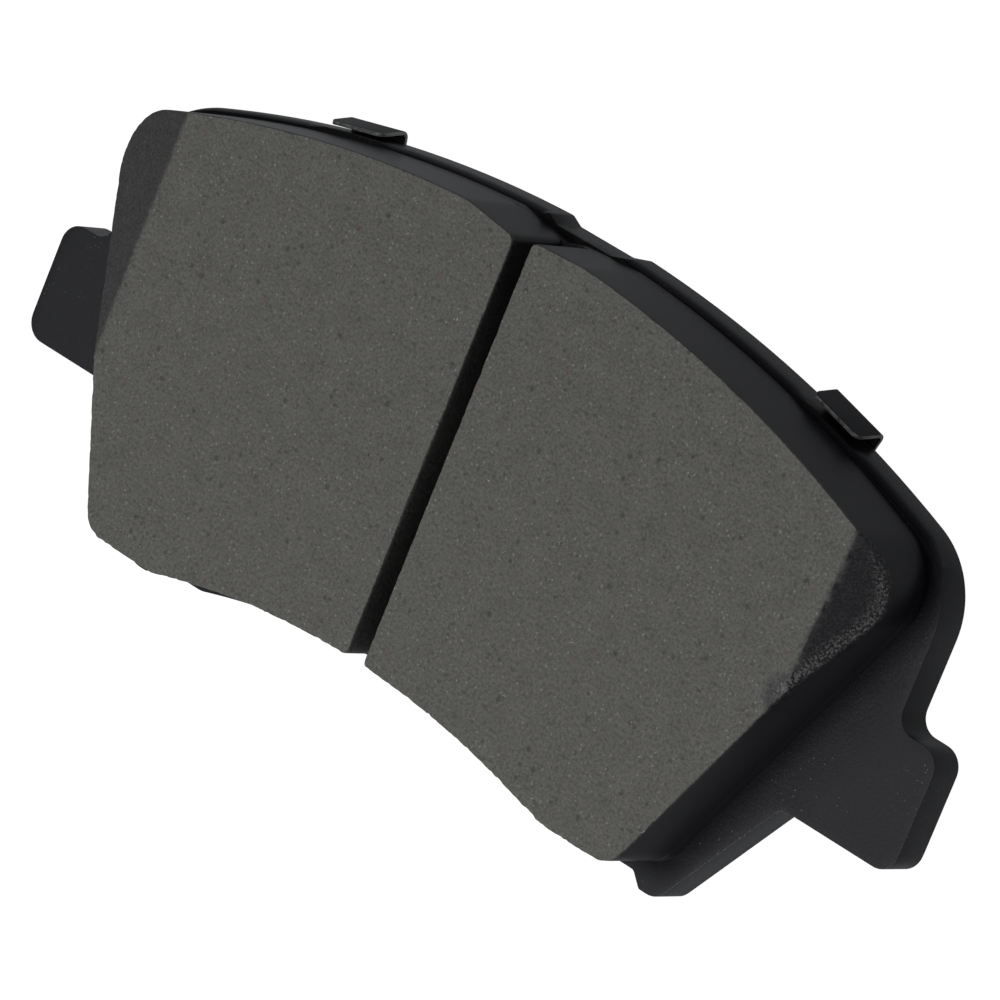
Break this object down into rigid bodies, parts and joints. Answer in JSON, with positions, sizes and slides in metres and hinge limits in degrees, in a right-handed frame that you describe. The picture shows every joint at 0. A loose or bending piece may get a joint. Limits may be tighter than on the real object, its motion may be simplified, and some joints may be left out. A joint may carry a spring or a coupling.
{
  "type": "disc brake pad",
  "caption": "Car disc brake pad: curved steel backing plate with ears and lobes, slotted and chamfered friction blocks, and a clip-on shim.",
  "frame": {"origin": "middle of the pad's outline, on the shim's outer face", "axes": "+X along the pad from the shallow-chamfer end to the steep-chamfer end, +Y towards the outer arc, +Z towards the friction face"},
  "size_m": [0.15, 0.0666, 0.0177],
  "materials": {
    "powder_coated_steel": "satin black powder coat",
    "cured_adhesive": "matte",
    "underlayer_compound": "matte, fine grained",
    "friction_compound": "matte, gritty, with short bright fibres",
    "shim_glue": "matte",
    "shim_inner_steel": "rolled",
    "shim_rubber": "matte",
    "shim_coated_steel": "satin black coating with bare cut edges"
  },
  "bodies": {
    "root": {"backing_plate": "powder_coated_steel", "bonding_film": "cured_adhesive", "underlayer": "underlayer_compound", "friction_block_left": "friction_compound", "friction_block_right": "friction_compound", "shim_adhesive": "shim_glue", "shim_inner_sheet": "shim_inner_steel", "shim_damping_layer": "shim_rubber", "shim_outer_sheet": "shim_coated_steel"}
  },
  "joints": []
}
